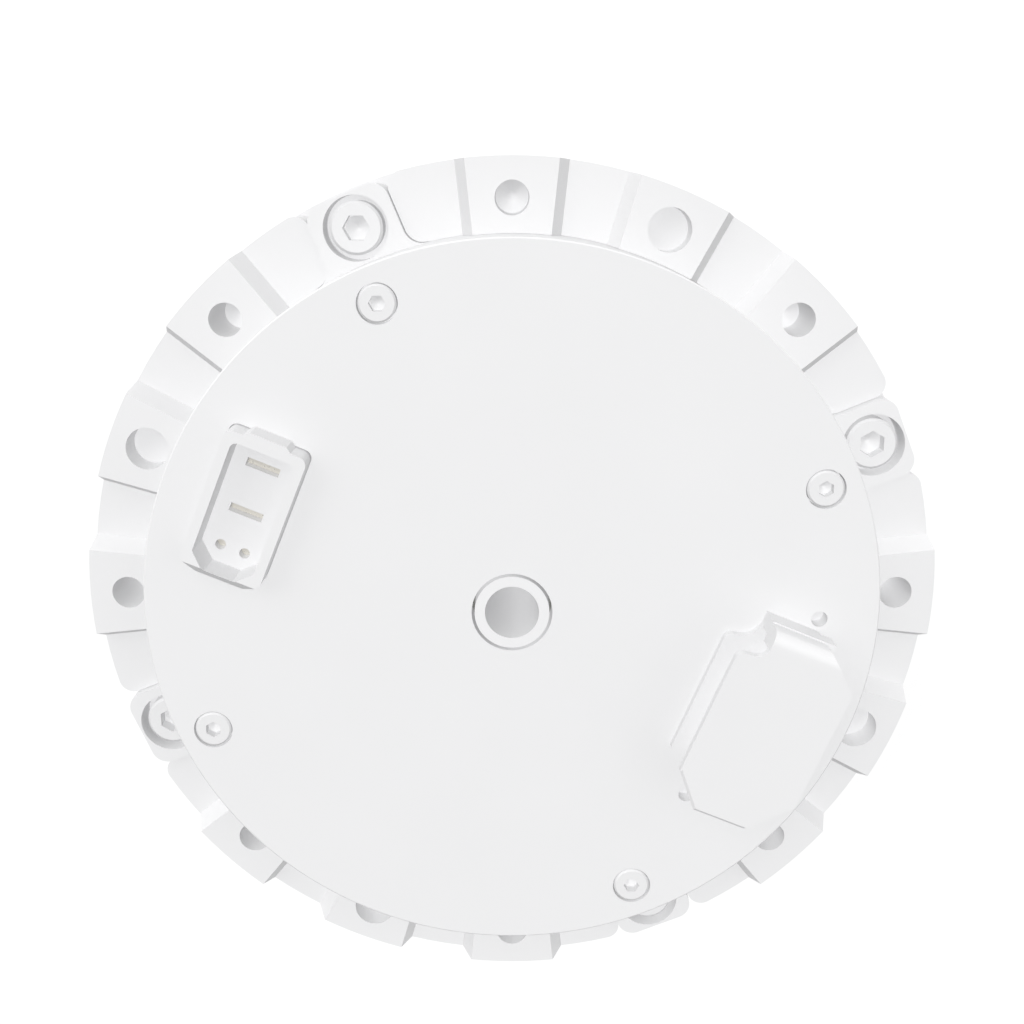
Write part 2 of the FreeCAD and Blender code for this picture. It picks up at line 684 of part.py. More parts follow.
# ---------------------------------------------------------------- motor
def make_stator_core():
    yoke = ring(cover_r, cover_r - yoke_width, stack_z, stack_top_z)
    tooth = block(stator_inner_r, cover_r - yoke_width + 0.5, -tooth_width / 2, tooth_width / 2,
                  stack_z, stack_top_z)
    shoe = ring(stator_inner_r + 1.4, stator_inner_r, stack_z, stack_top_z)
    half_shoe = radians(360 / slot_count * 0.4)
    far = stator_inner_r + 6
    spread = far * tan(half_shoe)
    wedge = slab([(0, 0, 0), (far, -spread, 0), (far, spread, 0)], stack_z, stack_top_z)
    arm = tooth.cut(disc(stator_inner_r, stack_z - 1, stack_top_z + 1)).fuse(shoe.common(wedge))
    return joined(yoke, *polar(arm, SLOT_ANGLES))


def make_windings():
    half = tooth_width / 2 + part_gap
    inner_x, outer_x = stator_inner_r + 2.2, cover_r - yoke_width - 0.6
    coil = block(inner_x, outer_x, -half - winding_wall, half + winding_wall, winding_z, winding_top_z)
    hole = block(inner_x - 1, outer_x + 1, -half, half, stack_z - part_gap, stack_top_z + part_gap)
    return group(polar(coil.cut(hole), SLOT_ANGLES))


def make_rotor_hub():
    rim_outer = rotor_r - magnet_thickness
    rim_inner = rim_outer - rotor_rim
    hub_r = shaft_r + 3.5
    shoulder_r = shaft_r + 1.2
    web_z = (stack_z + stack_top_z) / 2
    hub_z = main_z + spacer_height
    lap_z = stack_top_z - rotor_shaft_lap
    profile = [(shaft_r + seat_gap, main_z), (shoulder_r, main_z), (shoulder_r, hub_z), (hub_r, hub_z),
               (hub_r, web_z - 2), (rim_inner, web_z - 2),
               (rim_inner, stack_z - 0.5), (rim_outer, stack_z - 0.5), (rim_outer, stack_top_z + 0.5),
               (rim_inner, stack_top_z + 0.5), (rim_inner, web_z + 2), (hub_r, web_z + 2), (hub_r, stack_top_z),
               (shoulder_r, stack_top_z), (shoulder_r, rear_z), (shaft_r, rear_z), (shaft_r, rotor_top_z),
               (shaft_bore_r, rotor_top_z), (shaft_bore_r, lap_z), (shaft_r + seat_gap, lap_z)]
    window_r = (hub_r + rim_inner) / 2
    windows = polar(disc(3.2, web_z - 3, web_z + 3, (window_r, 0)), [60 * k for k in range(6)])
    return turned(*profile).cut(windows)


def make_magnets():
    shell = ring(rotor_r, rotor_r - magnet_thickness + seat_gap, stack_z, stack_top_z)
    half = radians(360 / pole_count * 0.45)
    far = rotor_r + 3
    wedge = slab([(0, 0, 0), (far, -far * tan(half), 0), (far, far * tan(half), 0)], stack_z, stack_top_z)
    return group(polar(shell.common(wedge), [360 / pole_count * k for k in range(pole_count)]))


# ---------------------------------------------------------------- ports and electronics
def port_outline(inset, corner):
    """Socket outline about its own centre: the two corners at the signal end are cut off."""
    w = port_width / 2 - inset
    h = port_length / 2 - inset
    cut = cavity_corner
    return [(-w + cut, -h, 0.3), (w - cut, -h, 0.3), (w, -h + cut, 0.3), (w, h, corner), (-w, h, corner),
            (-w, -h + cut, 0.3)]


def terminals(gap, z0, z1):
    """Two blades and two pins that fill the terminal openings, less gap all round."""
    half_l = terminal_length / 2 - gap
    half_w = terminal_width / 2 - gap
    shapes = []
    for y in (terminal_y, terminal_y - terminal_pitch):
        shapes.append(block(-half_l, half_l, y - half_w, y + half_w, z0, z1))
    for side in (-0.5, 0.5):
        shapes.append(disc(signal_r - gap, z0, z1, (side * signal_pitch, signal_y)))
    return shapes


def side_wedge(inner_y, top_z, run, drop):
    """Cutter that bevels the face beyond inner_y, falling by drop over run."""
    steep = 1 + 1 / run
    corners = [Vec(-port_width, inner_y, top_z), Vec(-port_width, inner_y + run + 1, top_z - drop * steep),
               Vec(-port_width, inner_y + run + 1, top_z + 1), Vec(-port_width, inner_y, top_z + 1)]
    return Part.Face(Part.makePolygon(corners + corners[:1])).extrude(Vec(2 * port_width, 0, 0))


def socket_body(top_z):
    """Moulded socket that stands on the driver board, with its cavity and terminal openings."""
    body = slab(port_outline(0, 0.9), board_top_z, top_z)
    cuts = [slab(port_outline(port_wall, 0.7), cavity_z, top_z + 1)]
    return body.cut(cuts + terminals(0, board_top_z - 1, top_z + 1))


def make_port_a():
    body = socket_body(socket_z)
    half_l = port_length / 2
    w = tongue_width / 2
    reach = half_l + tongue_length
    tongue = slab([(-w - 1, half_l - 0.3, 0), (w + 1, half_l - 0.3, 0),
                   (w, half_l + 0.3, 0.2), (w, reach, 0.4),
                   (-w, reach, 0.4), (-w, half_l + 0.3, 0.2)], cover_face_z + 0.05, socket_z)
    ramp = side_wedge(half_l - port_wall + 0.3, socket_z, port_wall + tongue_length - 0.3, tongue_drop)
    narrow = block(-w - 0.2, w + 0.2, 0, half_l + 4, cover_z, socket_z + 2)
    body = joined(body, tongue).cut(ramp.common(narrow))
    nose = side_wedge(half_l - port_bevel_run, socket_z, port_bevel_run, port_bevel_drop)
    nose = nose.mirror(Vec(0, 0, 0), Vec(0, 1, 0))
    return in_port_frame(body.cut(nose), port_a_x)


def cap_outline(spread):
    """Outline shared by port B's collar and its cap: tongues at both ends, a shoulder at one corner."""
    w = cap_half_width + spread
    t = cap_tongue
    return [(-w, -7.2, 0.5), (-w, cap_shoulder, 0.9), (-t - 0.55, cap_shoulder + 0.3, 1.2),
            (-t - 0.55, cap_end - 0.45, 0), (cap_chamfer_x, cap_end - 0.45, 0), (w, cap_shoulder, 0.3),
            (w, -cap_shoulder + 0.35, 0.3), (cap_chamfer_x, -cap_end, 0.2), (-t - 0.3, -cap_end, 0.2)]


def make_port_b():
    body = socket_body(cover_face_z + collar_rise)
    collar = slab(cap_outline(cap_collar_spread), cover_face_z, cover_face_z + collar_rise)
    collar = collar.cut(slab(port_outline(port_wall / 2, 0.7), cover_z, cap_top_z))
    return in_port_frame(joined(body, collar), port_b_x)


def make_port_cap():
    """Closed cap: a plug in the socket, a waist to grip and a lid with a rounded end."""
    seat_z = cover_face_z + collar_rise
    lid = slab(cap_outline(0), cap_top_z - cap_lid, cap_top_z)
    waist = rounded_face(cap_outline(0), seat_z).makeOffset2D(-cap_waist)
    waist = waist.extrude(Vec(0, 0, cap_top_z - cap_lid - seat_z + 0.1))
    end = cap_end - 0.45
    left = -cap_tongue - 0.55
    lower = block(left, cap_chamfer_x + 1.2, end - 2.0, end, seat_z, cover_face_z + cap_step_height)
    upper = block(left, cap_chamfer_x, end - 2.0, end - cap_step, seat_z, cap_top_z - cap_lid + 0.1)
    plug = slab(port_outline(port_wall + part_gap, 0.6), seat_z - cap_plug, seat_z + 0.5)
    cap = joined(waist, lid, lower, upper, plug)
    over = block(-cap_half_width - 1, cap_half_width + 1, end - cap_step, end + 2,
                 cover_face_z + cap_step_height, cap_top_z + 1)
    centre_z = cap_top_z - cap_round
    centre_y = end - cap_step - cap_round
    corner = block(-cap_half_width - 1, cap_half_width + 1, centre_y, end + 1, centre_z, cap_top_z + 1)
    rod_start = Vec(-2 * cap_half_width, centre_y, centre_z)
    rod = Part.makeCylinder(cap_round, 4 * cap_half_width, rod_start, Vec(1, 0, 0))
    return in_port_frame(cap.cut([over, corner.cut(rod)]), port_b_x)


def make_contacts(x):
    shapes = terminals(seat_gap, board_top_z, cavity_z - contact_recess)
    return group([in_port_frame(s, x) for s in shapes])


def make_driver_board():
    board = ring(board_r, board_hole_r, board_z, board_top_z)
    cuts = polar(disc(column_r + 0.6, board_z - 1, board_top_z + 1, (cover_screw_pitch_r, 0)), EAR_ANGLES)
    cuts += polar(disc(M2_5[0] + hole_gap, board_z - 1, board_top_z + 1, (post_pitch_r, 0)), POST_ANGLES)
    return board.cut(cuts)


def make_board_parts():
    """Power switches, a controller and capacitors on the driver board."""
    inner = board_hole_r + switch_inset
    switch = block(inner, inner + switch_length, -switch_width / 2, switch_width / 2,
                   board_top_z, board_top_z + chip_height)
    shapes = polar(switch, [60, 74, 88.5, 102, 116, 130])
    half = controller_size / 2
    middle = (board_hole_r + board_r) / 2
    chip = block(middle - half, middle + half, -half, half, board_top_z, board_top_z + chip_height)
    shapes += polar(chip, [215])
    can = disc(capacitor_r, board_top_z, cover_z - capacitor_gap, (middle, 0))
    shapes += polar(can, [242, 256, 284, 298])
    return group(shapes)


def make_encoder_board():
    board = ring(encoder_r, encoder_bore_r, encoder_z, encoder_z + encoder_thickness)
    hole = disc(M2[0] + hole_gap, encoder_z - 1, encoder_z + 3, (encoder_post_pitch_r, 0))
    return board.cut(polar(hole, ENCODER_POST_ANGLES))


def make_encoder_chips():
    top_z = encoder_z + encoder_thickness
    inner = encoder_bore_r + 0.8
    half = encoder_chip_size / 2
    upper = block(inner, inner + encoder_chip_size, -half, half, top_z, top_z + encoder_chip_height)
    lower = block(inner, inner + encoder_chip_size, -half, half, encoder_z - encoder_chip_height, encoder_z)
    return group([spun(upper, 90), spun(lower, 210)])


def make_seal():
    """Lip seal between the housing's front lip and the flange's rim."""
    z = front_face_z + 0.3
    top = bearing_z - 0.2
    return turned((lip_r - seat_gap, z), (lip_r - seat_gap, top), (lip_r - 0.9, top), (lip_r - 1.0, z + 0.8),
                  (output_rim_r + 0.7, z + 1.3), (output_rim_r + running_gap, z + 0.9),
                  (output_rim_r + 0.7, z + 0.4), (lip_r - 1.0, z))


# ---------------------------------------------------------------- build
def make_parts():
    front_outer, front_inner, front_balls = small_bearing(front_bearing_z)
    rear_outer, rear_inner, rear_balls = small_bearing(rear_bearing_z)
    wide_outer, wide_inner, rollers = output_bearing()
    pin = disc(pin_r, carrier_z + 0.2, carrier_top_z - 0.2, (orbit_r, 0))
    lead = disc(lead_r, winding_top_z, board_z, (lead_pitch_r, 0))
    parts = {
        "rear_cover": make_rear_cover(),
        "cover_screws": group(polar(cap_screw(M2, cover_head_z, cover_screw_length, cover_screw_pitch_r),
                                    EAR_ANGLES)),
        "cover_gasket": ring(gasket_r + gasket_width - seat_gap, gasket_r + seat_gap,
                             cover_z - gasket_depth, cover_z),
        "rear_housing": make_rear_housing(),
        "housing_screws": group(polar(cap_screw(M3, ear_head_z, ear_screw_length, ear_screw_pitch_r),
                                      EAR_ANGLES)),
        "main_housing": make_main_housing(),
        "mid_plate": make_mid_plate(),
        "front_housing": make_front_housing(),
        "front_screws": group(polar(cap_screw(M3, front_head_z, front_screw_length, front_screw_pitch_r,
                                              up=False),
                                    FRONT_SCREW_ANGLES)),
        "ring_gear": make_ring_gear(),
        "output_flange": make_output_flange(),
        "output_seal": make_seal(),
        "output_bearing_outer": wide_outer,
        "output_bearing_inner": wide_inner,
        "output_bearing_rollers": rollers,
        "planet_carrier": make_carrier(),
        "carrier_screws": group(polar(cap_screw(M3, carrier_head_z, carrier_screw_length, pillar_pitch_r),
                                      PILLAR_ANGLES)),
        "planet_pins": group(polar(pin, PLANET_ANGLES)),
        "planet_washers": make_planet_washers(),
        "sun_gear": make_sun_gear(),
        "front_bearing_outer": front_outer,
        "front_bearing_inner": front_inner,
        "front_bearing_balls": front_balls,
        "rear_bearing_outer": rear_outer,
        "rear_bearing_inner": rear_inner,
        "rear_bearing_balls": rear_balls,
        "rotor_hub": make_rotor_hub(),
        "rotor_magnets": make_magnets(),
        "rotor_circlip": ring(shaft_r + 1.3, shaft_r + seat_gap, circlip_z, circlip_z + circlip_width),
        "rotor_encoder_magnet": ring(encoder_magnet_r, shaft_r + seat_gap, magnet_z, rotor_top_z),
        "stator_core": make_stator_core(),
        "stator_windings": make_windings(),
        "phase_leads": group(polar(lead, LEAD_ANGLES)),
        "driver_board": make_driver_board(),
        "driver_board_parts": make_board_parts(),
        "driver_board_screws": group(polar(cap_screw(M2_5, board_top_z, board_screw_length, post_pitch_r),
                                           POST_ANGLES)),
        "encoder_board": make_encoder_board(),
        "encoder_chips": make_encoder_chips(),
        "encoder_board_screws": group(polar(cap_screw(M2, encoder_z + encoder_thickness, board_screw_length,
                                                      encoder_post_pitch_r), ENCODER_POST_ANGLES)),
        "centre_tube": ring(tube_outer_r, tube_inner_r, pilot_depth, cover_face_z),
        "tube_encoder_magnet": ring(tube_magnet_r, tube_outer_r + seat_gap, tube_magnet_z,
                                    tube_magnet_z + tube_magnet_width),
        "port_a": make_port_a(),
        "port_a_contacts": make_contacts(port_a_x),
        "port_b": make_port_b(),
        "port_b_contacts": make_contacts(port_b_x),
        "port_b_cap": make_port_cap(),
    }
    for number, angle in enumerate(PLANET_ANGLES, start=1):
        parts["planet_%d" % number] = make_planet(angle)
        parts["planet_bush_%d" % number] = make_bush(angle)
    return parts


os.makedirs("parts", exist_ok=True)
for name, shape in make_parts().items():
    shape.exportStep("parts/%s.step" % name)
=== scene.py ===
"""Looks for the hollow-shaft robot joint actuator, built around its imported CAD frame."""
import json
import math

import bmesh
import bpy
from mathutils import Matrix, Vector


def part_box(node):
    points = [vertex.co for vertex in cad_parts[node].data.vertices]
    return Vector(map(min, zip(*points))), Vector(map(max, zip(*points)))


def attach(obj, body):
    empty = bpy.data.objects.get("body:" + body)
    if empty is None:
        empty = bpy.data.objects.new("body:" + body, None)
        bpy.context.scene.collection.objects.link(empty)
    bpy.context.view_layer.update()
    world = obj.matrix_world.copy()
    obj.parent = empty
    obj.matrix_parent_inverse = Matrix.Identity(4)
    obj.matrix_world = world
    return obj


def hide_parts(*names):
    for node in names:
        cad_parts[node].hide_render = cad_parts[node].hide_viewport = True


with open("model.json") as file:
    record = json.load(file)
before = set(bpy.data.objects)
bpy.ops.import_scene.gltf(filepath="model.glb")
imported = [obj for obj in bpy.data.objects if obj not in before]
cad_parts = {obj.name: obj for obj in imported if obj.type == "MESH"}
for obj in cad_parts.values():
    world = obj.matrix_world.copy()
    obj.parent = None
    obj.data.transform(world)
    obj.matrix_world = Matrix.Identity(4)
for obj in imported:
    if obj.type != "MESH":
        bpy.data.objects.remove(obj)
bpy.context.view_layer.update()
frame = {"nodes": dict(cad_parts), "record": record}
MM = 0.001

# ------------------------------------------------------------------ materials
GREY = (0.62, 0.62, 0.625)
FINE = 0.00035      # grain of a bead-blasted or moulded face, metres
RELIEF_DEPTH = 0.00002
ROUGH_SPREAD = 0.05


class Nodes:
    """Small helper that adds nodes to one material and links them."""

    def __init__(self, material):
        material.use_nodes = True
        self.tree = material.node_tree
        self.shader = self.tree.nodes["Principled BSDF"]
        self.coords = self.add("ShaderNodeTexCoord").outputs["Object"]

    def add(self, kind):
        return self.tree.nodes.new(kind)

    def link(self, source, target):
        self.tree.links.new(source, target)

    def noise(self, size, detail):
        """Soft noise whose blotches are about size metres wide."""
        noise = self.add("ShaderNodeTexNoise")
        noise.inputs["Scale"].default_value = 1 / size
        noise.inputs["Detail"].default_value = detail
        self.link(self.coords, noise.inputs["Vector"])
        return noise.outputs["Fac"]

    def rings(self, pitch):
        """Fine circles about the actuator's axis, as a lathe leaves them."""
        wave = self.add("ShaderNodeTexWave")
        wave.wave_type = "RINGS"
        wave.rings_direction = "Z"
        wave.inputs["Scale"].default_value = 1 / (pitch * 20)
        wave.inputs["Distortion"].default_value = 0.4
        wave.inputs["Detail"].default_value = 1.0
        wave.inputs["Detail Scale"].default_value = 60.0
        self.link(self.coords, wave.inputs["Vector"])
        return wave.outputs["Fac"]

    def range(self, value, low, high):
        """Spreads the middle half of a noise, where nearly all of it lies, over low to high."""
        node = self.add("ShaderNodeMapRange")
        node.inputs["From Min"].default_value = 0.25
        node.inputs["From Max"].default_value = 0.75
        node.inputs["To Min"].default_value = low
        node.inputs["To Max"].default_value = high
        self.link(value, node.inputs["Value"])
        return node.outputs["Result"]

    def tint(self, value, dark, light):
        node = self.add("ShaderNodeMix")
        node.data_type = "RGBA"
        colours = [s for s in node.inputs if s.type == "RGBA"]
        colours[0].default_value = (*dark, 1)
        colours[1].default_value = (*light, 1)
        self.link(value, node.inputs["Factor"])
        return next(s for s in node.outputs if s.type == "RGBA")

    def bump(self, value, strength, depth):
        node = self.add("ShaderNodeBump")
        node.inputs["Strength"].default_value = strength
        node.inputs["Distance"].default_value = depth
        self.link(value, node.inputs["Height"])
        self.link(node.outputs["Normal"], self.shader.inputs["Normal"])


def scaled(colour, factor):
    return tuple(min(1.0, c * factor) for c in colour)


def material(name, colour, metallic, rough, grain=FINE, spread=0.02, bump=0.12, turned=0.0, patch=0.012,
             coat=0.0):
    """A finish with soft patches in its colour and fine grain in its roughness. The relief comes from the
    grain, or from lathe rings where turned gives their pitch."""
    made = bpy.data.materials.new(name)
    nodes = Nodes(made)
    shader = nodes.shader
    shader.inputs["Metallic"].default_value = metallic
    shader.inputs["Coat Weight"].default_value = coat
    patches = nodes.range(nodes.noise(patch, 2.0), 0.0, 1.0)
    tint = nodes.tint(patches, scaled(colour, 1 - spread), scaled(colour, 1 + spread))
    nodes.link(tint, shader.inputs["Base Color"])
    fine = nodes.noise(grain, 3.0)
    nodes.link(nodes.range(fine, rough - ROUGH_SPREAD, rough + ROUGH_SPREAD), shader.inputs["Roughness"])
    relief = nodes.rings(turned) if turned else fine
    nodes.bump(relief, bump, RELIEF_DEPTH)
    return made


FINISHES = {
    "cover": dict(colour=GREY, metallic=0.0, rough=0.55, spread=0.006, bump=0.05),
    "rear_shell": dict(colour=GREY, metallic=0.0, rough=0.55, spread=0.008, bump=0.05),
    "ring_shell": dict(colour=GREY, metallic=0.0, rough=0.50, spread=0.008, bump=0.05),
    "front_shell": dict(colour=GREY, metallic=0.0, rough=0.50, spread=0.008, bump=0.05),
    "mid_shell": dict(colour=scaled(GREY, 0.93), metallic=0.1, rough=0.42, turned=0.0002,
                      spread=0.01, bump=0.08),
    "screw_steel": dict(colour=scaled(GREY, 0.98), metallic=0.0, rough=0.55, spread=0.01, bump=0.06),
    "inner_screw_steel": dict(colour=(0.42, 0.42, 0.44), metallic=0.9, rough=0.35),
    "tube_metal": dict(colour=scaled(GREY, 1.02), metallic=0.0, rough=0.50, turned=0.0002,
                       spread=0.006, bump=0.05),
    "port_plastic": dict(colour=GREY, metallic=0.0, rough=0.50, grain=0.0005, spread=0.006, bump=0.06),
    "contact_metal": dict(colour=(0.60, 0.58, 0.53), metallic=0.5, rough=0.30, spread=0.03),
    "gasket_rubber": dict(colour=(0.05, 0.05, 0.052), metallic=0.0, rough=0.75, bump=0.25),
    "gear_steel": dict(colour=(0.46, 0.46, 0.48), metallic=0.9, rough=0.32, turned=0.0003, spread=0.04),
    "bearing_steel": dict(colour=(0.66, 0.66, 0.68), metallic=1.0, rough=0.18, turned=0.0002, spread=0.02),
    "bronze": dict(colour=(0.55, 0.36, 0.17), metallic=0.9, rough=0.40, grain=0.0002, spread=0.08, bump=0.3),
    "carrier_steel": dict(colour=(0.50, 0.50, 0.52), metallic=0.9, rough=0.34, turned=0.0003, spread=0.03),
    "output_metal": dict(colour=scaled(GREY, 0.97), metallic=0.25, rough=0.36, turned=0.00025,
                         spread=0.01, bump=0.1),
    "rotor_steel": dict(colour=(0.45, 0.45, 0.47), metallic=0.9, rough=0.35, turned=0.0003, spread=0.03),
    "magnet": dict(colour=(0.60, 0.59, 0.57), metallic=0.95, rough=0.25, spread=0.03),
    "lamination": dict(colour=(0.20, 0.21, 0.24), metallic=0.5, rough=0.45, spread=0.05),
    "copper": dict(colour=(0.68, 0.27, 0.10), metallic=0.85, rough=0.28, spread=0.08, coat=0.3),
    "lead_cover": dict(colour=(0.45, 0.04, 0.03), metallic=0.0, rough=0.5, spread=0.04),
    "board": dict(colour=(0.015, 0.10, 0.05), metallic=0.0, rough=0.30, spread=0.10, patch=0.003, coat=0.4),
    "chip": dict(colour=(0.03, 0.03, 0.032), metallic=0.0, rough=0.5, spread=0.1),
}

finished = {slot: material("look_" + slot, **values) for slot, values in FINISHES.items()}
slot_of = {entry["node"]: entry["material_slot"] for entry in frame["record"]["subparts"]}
for node_name, node_object in frame["nodes"].items():
    for holder in node_object.material_slots:
        holder.material = finished[slot_of[node_name]]

# ------------------------------------------------------------------ ports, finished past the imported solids
# Millimetres, in a frame turned so that its x axis passes through both ports. Outlines have the port's
# middle as their origin.
PORT_TURN = math.radians(-22.5)
PORT_A_X = -29.05
PORT_B_X = 27.75
PORT_HALF_LENGTH = 7.85
PORT_HALF_WIDTH = 4.25
PORT_WALL = 1.0
TONGUE_HALF_WIDTH = 1.9
TONGUE_LENGTH = 0.45
TONGUE_SHOULDER = 0.55
TONGUE_ROUND = 0.25
TONGUE_INSET = 0.02          # root of the tongue, outwards from the inner face of the wall
TONGUE_LOW = 0.05            # lower side of the tongue above the cover
OLD_TONGUE_HALF_WIDTH = 4    # a box around the tongue of the solid, which falls away and is cut off
OLD_TONGUE_END = 10
OLD_TONGUE_SINK = 0.5
SHOULDER_LEFT = -5.9         # the filler that rounds the collar's inner corner
SHOULDER_RIGHT = -3.3
SHOULDER_LOW = 6.7
SHOULDER_EDGE = 6.917
SHOULDER_CORNER = 7.15
SHOULDER_ROUND = 2.4
COLLAR_END = 10.2
FOOT_LAP = 0.35              # how far the foot reaches over the wall of the socket
FOOT_CUT = 2
FOOT_CUT_ROUND = 0.3
FOOT_END_ROUND = 0.6
FOOT_SINK = 0.3
FOOT_RISE = 0.03
NECK_RIGHT = -0.5
NECK_LOW = 5.0
NECK_LOW_LEFT = -2.0
NECK_EDGE = 6.0
NECK_DROP = 0.5              # top of the neck below the top of the cap, inside the lid
GRIP_X = -3.02               # round grip cut into the cap's neck
GRIP_Y = 7.07
GRIP_R = 1.79
GRIP_SINK = 0.5
GRIP_DROP = 0.9
LID_LEFT = -3.45             # left side of the cap's end
LID_RIGHT = 4.9
LID_END = 10.1
LID_JOIN = 8.0
LID_CORNER_X = 2.62          # the slanting corner runs from here at the end
LID_CORNER_Y = 8.09          # to here at the right side
LID_LOW = 3.0                # lowest level of the end above the cover
LID_ROUND = 1.35
LID_BEVEL = 0.28
BEVELLED_EDGES = (           # start and end of each edge of the lid's plain end that is bevelled
    ((2.6, -10.7), (-3.3, -10.7)),
    ((-3.11, -10.8), (-6.3, -7.2)),
)
BEVEL_SPARE = 0.3            # how far the bevel's cutter stands clear of the lid
HALF_SWEEP = 8               # longer than half of the cap's width
CLEAR = 1                    # how far a cutter passes what it cuts
APART = 0.01                 # keeps a helper's faces off the faces of the solid
ARC_STEPS = 8
WELD = 2e-6                  # metres, the widest gap between doubled points
SEAM_FLAT = 0.2              # degrees, what counts as flat in the solid's mesh
FINAL_FLAT = 0.5             # degrees, the same in the finished piece
SMOOTH_BELOW = math.radians(25)
cover_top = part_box("rear_cover")[1][2] / MM
socket_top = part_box("port_a")[1][2] / MM
cap_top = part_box("port_b_cap")[1][2] / MM
collar_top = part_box("port_b")[1][2] / MM


def rounded(corners):
    """Outline through (x, y, radius) corners as plain points, each corner rounded by its radius."""
    points = []
    for i, (x, y, radius) in enumerate(corners):
        here = Vector((x, y))
        if radius == 0:
            points.append(here)
            continue
        before = (Vector(corners[i - 1][:2]) - here).normalized()
        after = (Vector(corners[(i + 1) % len(corners)][:2]) - here).normalized()
        half = before.angle(after) / 2
        middle = here + (before + after).normalized() * (radius / math.sin(half))
        first = here + before * (radius / math.tan(half)) - middle
        last = here + after * (radius / math.tan(half)) - middle
        turn = first.angle_signed(last)
        for step in range(ARC_STEPS + 1):
            spoke = first.copy()
            spoke.rotate(Matrix.Rotation(-turn * step / ARC_STEPS, 2))
            points.append(middle + spoke)
    return points


def swept(ring, travel, port_x):
    """Closed helper solid: a ring of points in a port's own frame, millimetres, carried along travel."""
    shape = bmesh.new()
    near = [shape.verts.new(Vector(point)) for point in ring]
    far = [shape.verts.new(Vector(point) + Vector(travel)) for point in ring]
    shape.faces.new(near)
    shape.faces.new(far[::-1])
    for i in range(len(ring)):
        j = (i + 1) % len(ring)
        shape.faces.new((near[j], near[i], far[i], far[j]))
    bmesh.ops.recalc_face_normals(shape, faces=shape.faces)
    turned = Matrix.Scale(MM, 4) @ Matrix.Rotation(PORT_TURN, 4, "Z")
    bmesh.ops.transform(shape, matrix=turned @ Matrix.Translation((port_x, 0, 0)), verts=shape.verts)
    mesh = bpy.data.meshes.new("helper")
    shape.to_mesh(mesh)
    shape.free()
    helper = bpy.data.objects.new("helper", mesh)
    bpy.context.scene.collection.objects.link(helper)
    return helper


def prism(corners, low, high, port_x):
    """Upright helper solid on an outline of (x, y, radius) corners."""
    ring = [(point.x, point.y, low) for point in rounded(corners)]
    return swept(ring, (0, 0, high - low), port_x)


def edge_bevel(start, end, port_x):
    """Cutter that bevels the lid's upper edge from start to end, with the outside on its left."""
    along = Vector(end) - Vector(start)
    out = Vector((-along.y, along.x)).normalized()
    reach = -LID_BEVEL - BEVEL_SPARE
    section = [(reach, BEVEL_SPARE), (BEVEL_SPARE, reach), (BEVEL_SPARE, BEVEL_SPARE)]
    ring = [(start[0] + out.x * n, start[1] + out.y * n, cap_top + z) for n, z in section]
    return swept(ring, (along.x, along.y, 0), port_x)


def welded(mesh, flat_angle):
    """The mesh for editing: stored normals dropped, doubled points joined, and neighbouring faces that meet
    within flat_angle degrees merged."""
    for layer in ("custom_normal", "sharp_face", "sharp_edge"):
        if layer in mesh.attributes:
            mesh.attributes.remove(mesh.attributes[layer])
    shape = bmesh.new()
    shape.from_mesh(mesh)
    bmesh.ops.remove_doubles(shape, verts=shape.verts, dist=WELD)
    flat = math.radians(flat_angle)
    bmesh.ops.dissolve_limit(shape, angle_limit=flat, verts=shape.verts, edges=shape.edges)
    return shape


def refined(node_name, piece_name, steps):
    """Piece that stands for a node: a copy of its solid with each helper joined to it or cut from it."""
    base = frame["nodes"][node_name].data.copy()
    shape = welded(base, SEAM_FLAT)
    shape.to_mesh(base)
    shape.free()
    piece = bpy.data.objects.new(piece_name, base)
    bpy.context.scene.collection.objects.link(piece)
    for kind, helper in steps:
        change = piece.modifiers.new(kind, "BOOLEAN")
        change.operation = kind
        change.solver = "EXACT"
        change.object = helper
    bpy.context.view_layer.update()
    result = bpy.data.meshes.new_from_object(piece.evaluated_get(bpy.context.evaluated_depsgraph_get()))
    piece.modifiers.clear()
    piece.data = result
    for kind, helper in steps:
        bpy.data.objects.remove(helper)
    shape = welded(result, FINAL_FLAT)
    for face in shape.faces:
        face.smooth = True
    for edge in shape.edges:
        edge.smooth = len(edge.link_faces) == 2 and edge.calc_face_angle() < SMOOTH_BELOW
    shape.to_mesh(result)
    shape.free()
    result.materials.clear()
    result.materials.append(finished["port_plastic"])
    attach(piece, "housing")
    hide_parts(node_name)


# port A: the tongue at the end is level with the rim, with sloping shoulders
tongue_root = PORT_HALF_LENGTH - PORT_WALL + TONGUE_INSET
tongue_tip = PORT_HALF_LENGTH + TONGUE_LENGTH
tongue_wide = TONGUE_HALF_WIDTH + TONGUE_SHOULDER
tongue = [
    (-tongue_wide, tongue_root, 0),
    (tongue_wide, tongue_root, 0),
    (tongue_wide, PORT_HALF_LENGTH, 0),
    (TONGUE_HALF_WIDTH, tongue_tip, TONGUE_ROUND),
    (-TONGUE_HALF_WIDTH, tongue_tip, TONGUE_ROUND),
    (-tongue_wide, PORT_HALF_LENGTH, 0),
]
old_tongue = [
    (-OLD_TONGUE_HALF_WIDTH, PORT_HALF_LENGTH, 0),
    (OLD_TONGUE_HALF_WIDTH, PORT_HALF_LENGTH, 0),
    (OLD_TONGUE_HALF_WIDTH, OLD_TONGUE_END, 0),
    (-OLD_TONGUE_HALF_WIDTH, OLD_TONGUE_END, 0),
]
refined("port_a", "port_a_shell", [
    ("DIFFERENCE", prism(old_tongue, cover_top - OLD_TONGUE_SINK, socket_top + CLEAR, PORT_A_X)),
    ("UNION", prism(tongue, cover_top + TONGUE_LOW, socket_top, PORT_A_X)),
])

